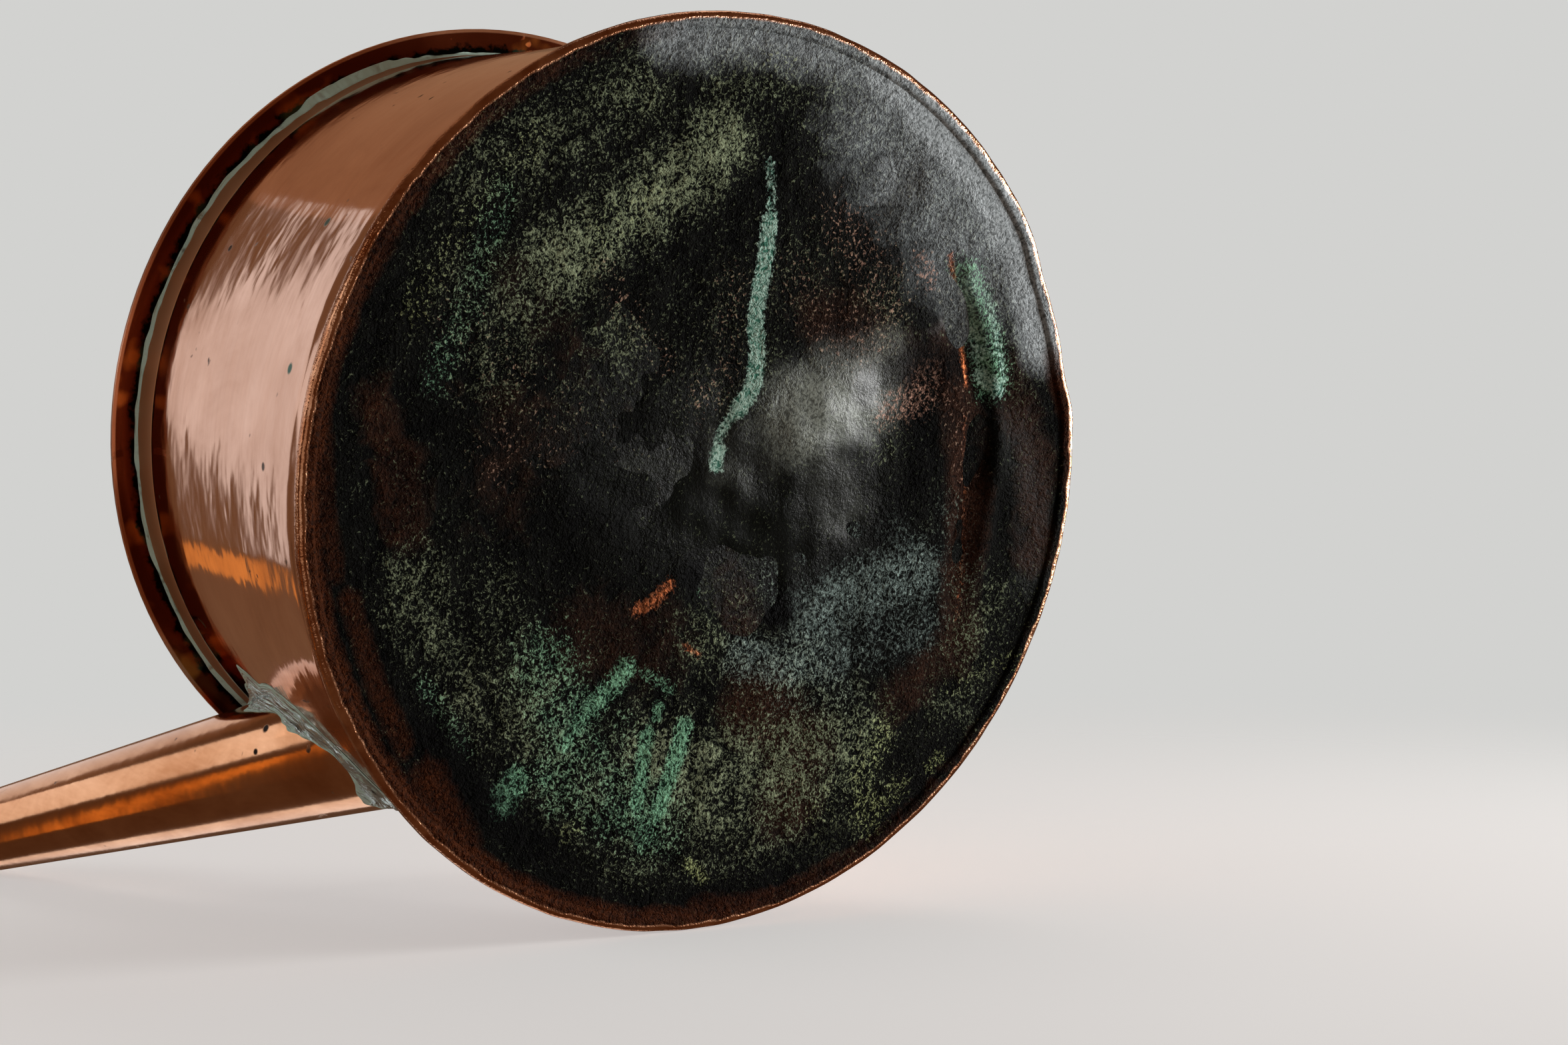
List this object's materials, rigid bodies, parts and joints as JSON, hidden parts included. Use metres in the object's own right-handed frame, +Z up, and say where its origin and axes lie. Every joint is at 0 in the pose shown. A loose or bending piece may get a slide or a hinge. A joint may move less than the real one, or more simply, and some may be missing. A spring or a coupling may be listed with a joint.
{
  "type": "copper kettle",
  "caption": "Old soldered copper kettle with a flared drum, seamed foot, domed shoulder, straight tapered spout, loose lid and swing handle.",
  "frame": {"origin": "middle of the foot, on the plane that the folded foot seam stands on", "axes": "+Z up along the drum's axis, -X towards the spout, +Y towards the side the handle is folded to"},
  "size_m": [0.2833, 0.22, 0.2038],
  "materials": {
    "sheet_copper": "worn polished copper with brown patina",
    "burnt_copper": "fire-blackened copper with green verdigris",
    "copper_rod": "worn polished copper",
    "tin_solder": "dull grey wiped tin solder"
  },
  "bodies": {
    "kettle": {"body_wall": "sheet_copper", "base_pan": "burnt_copper", "shoulder": "sheet_copper", "shoulder_solder": "tin_solder", "spout": "sheet_copper", "spout_solder": "tin_solder", "lid": "sheet_copper", "lid_collar": "sheet_copper", "lid_knob": "copper_rod", "front_ear": "sheet_copper", "rear_ear": "sheet_copper", "ear_rivets": "copper_rod"},
    "bail": {"bail_handle": "copper_rod"}
  },
  "joints": [
    {"name": "bail_swing", "type": "hinge", "parent": "kettle", "child": "bail", "pos_m": [0, 0, 0.146], "axis": [1, 0, 0], "range_deg": [0, 206]}
  ]
}
